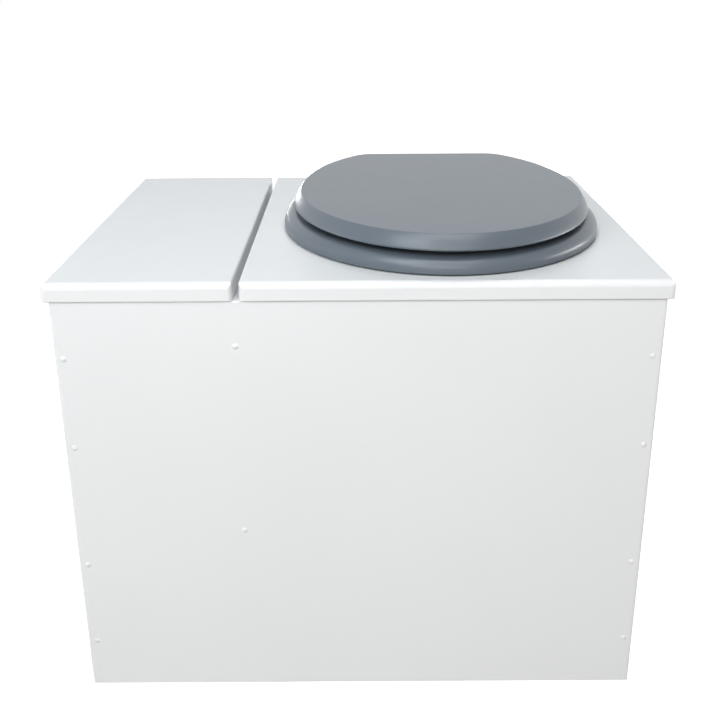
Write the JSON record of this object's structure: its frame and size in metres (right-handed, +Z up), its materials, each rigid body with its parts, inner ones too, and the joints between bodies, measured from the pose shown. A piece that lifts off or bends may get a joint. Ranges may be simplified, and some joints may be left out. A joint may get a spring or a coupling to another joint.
{
  "type": "composting toilet",
  "caption": "White wooden box toilet with a hinged seat board over a lift-out bucket and a hinged lid over a side bin for cover material, with a grey oval seat and lid.",
  "frame": {"origin": "on the floor, under the middle of the two lids seen from above", "axes": "+X to the right as seen from the front, +Y towards the back, +Z up; the front faces -Y"},
  "size_m": [0.649, 0.548, 0.5405],
  "materials": {
    "white_paint": "satin white paint on smooth board",
    "painted_screws": "steel screw, painted over in white",
    "hinge_steel": "zinc-plated steel",
    "clear_buffers": "soft translucent buffer",
    "stainless": "brushed stainless steel",
    "seat_fittings": "bright chromed steel",
    "rubber": "matte",
    "seat_lacquer": "satin grey lacquer on moulded wood",
    "grip_plastic": "matte"
  },
  "bodies": {
    "carcass": {"front_panel": "white_paint", "back_panel": "white_paint", "left_side_panel": "white_paint", "right_side_panel": "white_paint", "base_panel": "white_paint", "partition_panel": "white_paint", "bin_floor": "white_paint", "front_screws": "painted_screws", "back_screws": "painted_screws", "side_screws": "painted_screws", "bin_floor_screws": "painted_screws", "board_hinge_fixed_leaves": "hinge_steel", "board_hinge_pins": "hinge_steel", "bin_hinge_fixed_leaves": "hinge_steel", "bin_hinge_pins": "hinge_steel", "fixed_leaf_screws": "hinge_steel"},
    "board": {"seat_board": "white_paint", "board_hinge_moving_leaves": "hinge_steel", "board_leaf_screws": "hinge_steel", "seat_board_buffers": "clear_buffers", "splash_guard": "stainless", "splash_guard_screws": "stainless", "seat_hinge_posts": "seat_fittings", "seat_hinge_pins": "seat_fittings", "seat_hinge_studs": "seat_fittings", "rubber_washers": "rubber", "steel_washers": "seat_fittings", "wing_nuts": "seat_fittings"},
    "bin_cover": {"bin_lid": "white_paint", "bin_hinge_moving_leaves": "hinge_steel", "bin_leaf_screws": "hinge_steel", "bin_lid_buffers": "clear_buffers"},
    "ring": {"seat_ring": "seat_lacquer", "ring_straps": "seat_fittings", "ring_strap_screws": "seat_fittings", "ring_buffers": "rubber"},
    "cover": {"seat_lid": "seat_lacquer", "lid_straps": "seat_fittings", "lid_strap_screws": "seat_fittings", "lid_buffers": "rubber"},
    "pail": {"bucket": "stainless", "bucket_ears": "stainless"},
    "bail": {"bucket_bail": "stainless", "bail_grip": "grip_plastic"}
  },
  "joints": [
    {"name": "board_hinge", "type": "hinge", "parent": "carcass", "child": "board", "pos_m": [0.10125, 0.2684, 0.4726], "axis": [-1, 0, 0], "range_deg": [0, 90]},
    {"name": "bin_lid_hinge", "type": "hinge", "parent": "carcass", "child": "bin_cover", "pos_m": [-0.2265, 0.2684, 0.4726], "axis": [-1, 0, 0], "range_deg": [0, 100]},
    {"name": "ring_hinge", "type": "hinge", "parent": "board", "child": "ring", "pos_m": [0.09975, 0.231, 0.5215], "axis": [-1, 0, 0], "range_deg": [0, 92]},
    {"name": "lid_hinge", "type": "hinge", "parent": "ring", "child": "cover", "pos_m": [0.09975, 0.231, 0.5215], "axis": [-1, 0, 0], "range_deg": [0, 90]},
    {"name": "bucket_lift", "type": "slide", "parent": "carcass", "child": "pail", "axis": [0, 0, 1], "range_m": [0, 0.472]},
    {"name": "bail_swing", "type": "hinge", "parent": "pail", "child": "bail", "pos_m": [0.09975, -0.044, 0.3303], "axis": [-1, 0, 0], "range_deg": [0, 118]}
  ],
  "couplings": [
    {"joint": "bucket_lift", "follows": "board_hinge", "m_per_rad": 0.3},
    {"joint": "bail_swing", "follows": "board_hinge", "ratio": 1.31}
  ]
}
